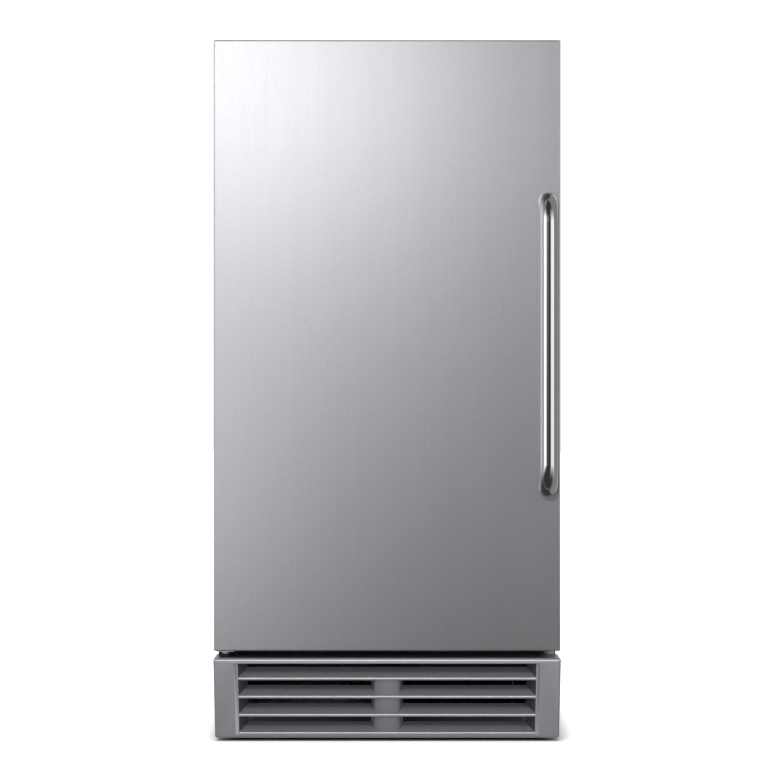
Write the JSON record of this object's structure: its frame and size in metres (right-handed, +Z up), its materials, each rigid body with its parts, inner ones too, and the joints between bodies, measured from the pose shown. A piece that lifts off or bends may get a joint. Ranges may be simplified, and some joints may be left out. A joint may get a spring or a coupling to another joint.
{
  "type": "built-in ice maker",
  "caption": "Undercounter clear-ice maker with a left-hinged stainless door, a tube handle, a louvred toe grille and its ice machine and bin inside.",
  "frame": {"origin": "middle of the bounding box on the floor, under the levelling feet", "axes": "+Z up, +X to the right seen from the front, +Y to the back; the door faces -Y"},
  "size_m": [0.4316, 0.618, 0.8699],
  "materials": {
    "brushed_steel": "brushed, vertical grain",
    "polished_steel": "polished",
    "satin_silver_plastic": "satin silver-grey paint",
    "black_painted_steel": "satin black",
    "grey_painted_steel": "satin grey",
    "zinc_plated_steel": "zinc plated",
    "white_plastic": "semi-gloss",
    "grey_plastic": "matt",
    "black_plastic": "matt",
    "rubber": "matt",
    "gasket_rubber": "matt",
    "insulating_foam": "rigid foam",
    "copper": "drawn copper tube",
    "aluminium_fins": "black lacquer over the fins",
    "frosted_plastic": "frosted",
    "scoop_plastic": "semi-gloss"
  },
  "bodies": {
    "cabinet": {"evaporator_grid": "polished_steel", "toe_grille": "satin_silver_plastic", "front_rail": "black_painted_steel", "side_panel_left": "black_painted_steel", "side_panel_right": "black_painted_steel", "top_panel": "black_painted_steel", "hinge_top_plate": "black_painted_steel", "hinge_bottom_bracket": "black_painted_steel", "compressor": "black_painted_steel", "fan_motor": "grey_painted_steel", "base_pan": "zinc_plated_steel", "rear_panel": "zinc_plated_steel", "rear_service_cover": "zinc_plated_steel", "bin_liner": "white_plastic", "evaporator_cheek_left": "white_plastic", "evaporator_cheek_right": "white_plastic", "water_distributor": "white_plastic", "water_trough": "white_plastic", "control_housing": "white_plastic", "scoop_hook": "white_plastic", "inlet_valve": "white_plastic", "air_divider": "grey_plastic", "drain_fitting": "grey_plastic", "fan_shroud": "black_plastic", "water_pump": "black_plastic", "power_inlet": "black_plastic", "compressor_grommet_1": "rubber", "compressor_grommet_2": "rubber", "compressor_grommet_3": "rubber", "compressor_grommet_4": "rubber", "cabinet_foam": "insulating_foam", "filter_drier": "copper", "discharge_line": "copper", "liquid_line": "copper", "capillary_line": "copper", "suction_line": "copper", "evaporator_tube": "copper", "bin_thermostat_probe": "copper", "condenser_coil": "aluminium_fins", "light_lens": "frosted_plastic", "pump_hose": "frosted_plastic"},
    "door": {"door_skin": "brushed_steel", "door_foam": "insulating_foam", "door_inner_panel": "white_plastic", "door_gasket": "gasket_rubber", "door_handle": "polished_steel", "handle_screw_top": "zinc_plated_steel", "handle_screw_bottom": "zinc_plated_steel", "door_top_cap": "black_plastic", "door_bottom_cap": "black_plastic", "hinge_door_plate": "zinc_plated_steel"},
    "fan": {"fan_blade": "black_plastic"},
    "curtain": {"ice_curtain": "frosted_plastic"},
    "float": {"water_float": "white_plastic"},
    "rocker": {"rocker_switch": "black_plastic"},
    "leg_front_left": {"levelling_leg_front_left": "black_plastic"},
    "leg_front_right": {"levelling_leg_front_right": "black_plastic"},
    "leg_rear_left": {"levelling_leg_rear_left": "black_plastic"},
    "leg_rear_right": {"levelling_leg_rear_right": "black_plastic"},
    "scoop": {"ice_scoop": "scoop_plastic"}
  },
  "joints": [
    {"name": "door_hinge", "type": "hinge", "parent": "cabinet", "child": "door", "pos_m": [-0.202, -0.223, 0.1119], "axis": [0, 0, -1], "range_deg": [0, 100]},
    {"name": "fan_spin", "type": "hinge", "parent": "cabinet", "child": "fan", "pos_m": [0.085, -0.1272, 0.0758], "axis": [0, 1, 0], "continuous": true},
    {"name": "curtain_swing", "type": "hinge", "parent": "cabinet", "child": "curtain", "pos_m": [0, 0.1679, 0.7878], "axis": [-1, 0, 0], "range_deg": [0, 40]},
    {"name": "float_rise", "type": "slide", "parent": "cabinet", "child": "float", "axis": [0, 0, 1], "range_m": [0, 0.012]},
    {"name": "rocker_tilt", "type": "hinge", "parent": "cabinet", "child": "rocker", "pos_m": [0.04, -0.176, 0.8095], "axis": [0, 0, 1], "range_deg": [0, 16]},
    {"name": "leg_front_left_screw", "type": "slide", "parent": "cabinet", "child": "leg_front_left", "axis": [0, 0, -1], "range_m": [0, 0.02]},
    {"name": "leg_front_right_screw", "type": "slide", "parent": "cabinet", "child": "leg_front_right", "axis": [0, 0, -1], "range_m": [0, 0.02]},
    {"name": "leg_rear_left_screw", "type": "slide", "parent": "cabinet", "child": "leg_rear_left", "axis": [0, 0, -1], "range_m": [0, 0.02]},
    {"name": "leg_rear_right_screw", "type": "slide", "parent": "cabinet", "child": "leg_rear_right", "axis": [0, 0, -1], "range_m": [0, 0.02]},
    {"name": "scoop_lift_off", "type": "slide", "parent": "cabinet", "child": "scoop", "axis": [-1, 0, 0], "range_m": [0, 0.03]}
  ]
}
